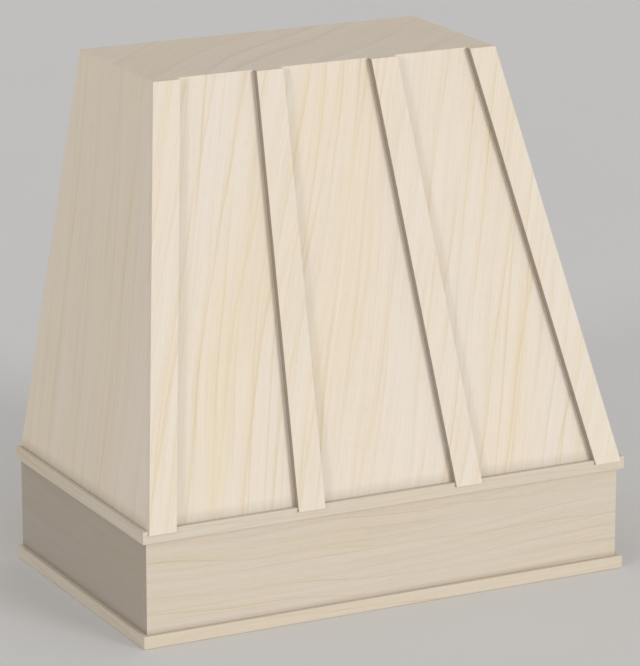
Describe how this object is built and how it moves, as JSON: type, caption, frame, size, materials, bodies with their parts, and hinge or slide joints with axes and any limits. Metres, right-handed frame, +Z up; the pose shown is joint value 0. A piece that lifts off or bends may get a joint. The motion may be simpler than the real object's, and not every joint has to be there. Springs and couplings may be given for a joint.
{
  "type": "range hood cover",
  "caption": "Wall-mounted wooden range hood cover: tapered body with flat battens on an upright apron banded by two trims, open at the back and underside for an insert and its duct.",
  "frame": {"origin": "on the wall plane, at the middle of the width, level with the bottom edge", "axes": "+X to the viewer's right when facing the hood, +Y into the wall, +Z up"},
  "size_m": [0.9334, 0.5475, 0.9144],
  "materials": {
    "veneered_plywood": "sanded, unfinished",
    "pale_hardwood": "sanded, unfinished",
    "frame_softwood": "planed",
    "zinc_steel": "zinc plated"
  },
  "bodies": {
    "root": {"apron_block_left": "frame_softwood", "apron_block_right": "frame_softwood", "apron_front": "pale_hardwood", "apron_left": "pale_hardwood", "apron_right": "pale_hardwood", "back_rail_bottom": "frame_softwood", "back_rail_screws": "zinc_steel", "back_rail_top": "frame_softwood", "back_rail_waist": "frame_softwood", "batten_inner_left": "pale_hardwood", "batten_inner_right": "pale_hardwood", "batten_outer_left": "pale_hardwood", "batten_outer_right": "pale_hardwood", "batten_screws": "zinc_steel", "corner_block_left": "frame_softwood", "corner_block_right": "frame_softwood", "front_panel": "veneered_plywood", "liner_cleat_back": "frame_softwood", "liner_cleat_front": "frame_softwood", "liner_cleat_left": "frame_softwood", "liner_cleat_right": "frame_softwood", "liner_cleat_screws": "zinc_steel", "lower_trim_front": "pale_hardwood", "lower_trim_left": "pale_hardwood", "lower_trim_right": "pale_hardwood", "side_panel_left": "veneered_plywood", "side_panel_right": "veneered_plywood", "top_cleat_front": "frame_softwood", "top_cleat_left": "frame_softwood", "top_cleat_right": "frame_softwood", "top_cleat_screws": "zinc_steel", "top_panel": "veneered_plywood", "upper_trim_front": "pale_hardwood", "upper_trim_left": "pale_hardwood", "upper_trim_right": "pale_hardwood", "waist_rail_front": "frame_softwood", "waist_rail_left": "frame_softwood", "waist_rail_right": "frame_softwood", "waist_rail_screws": "zinc_steel"}
  },
  "joints": []
}
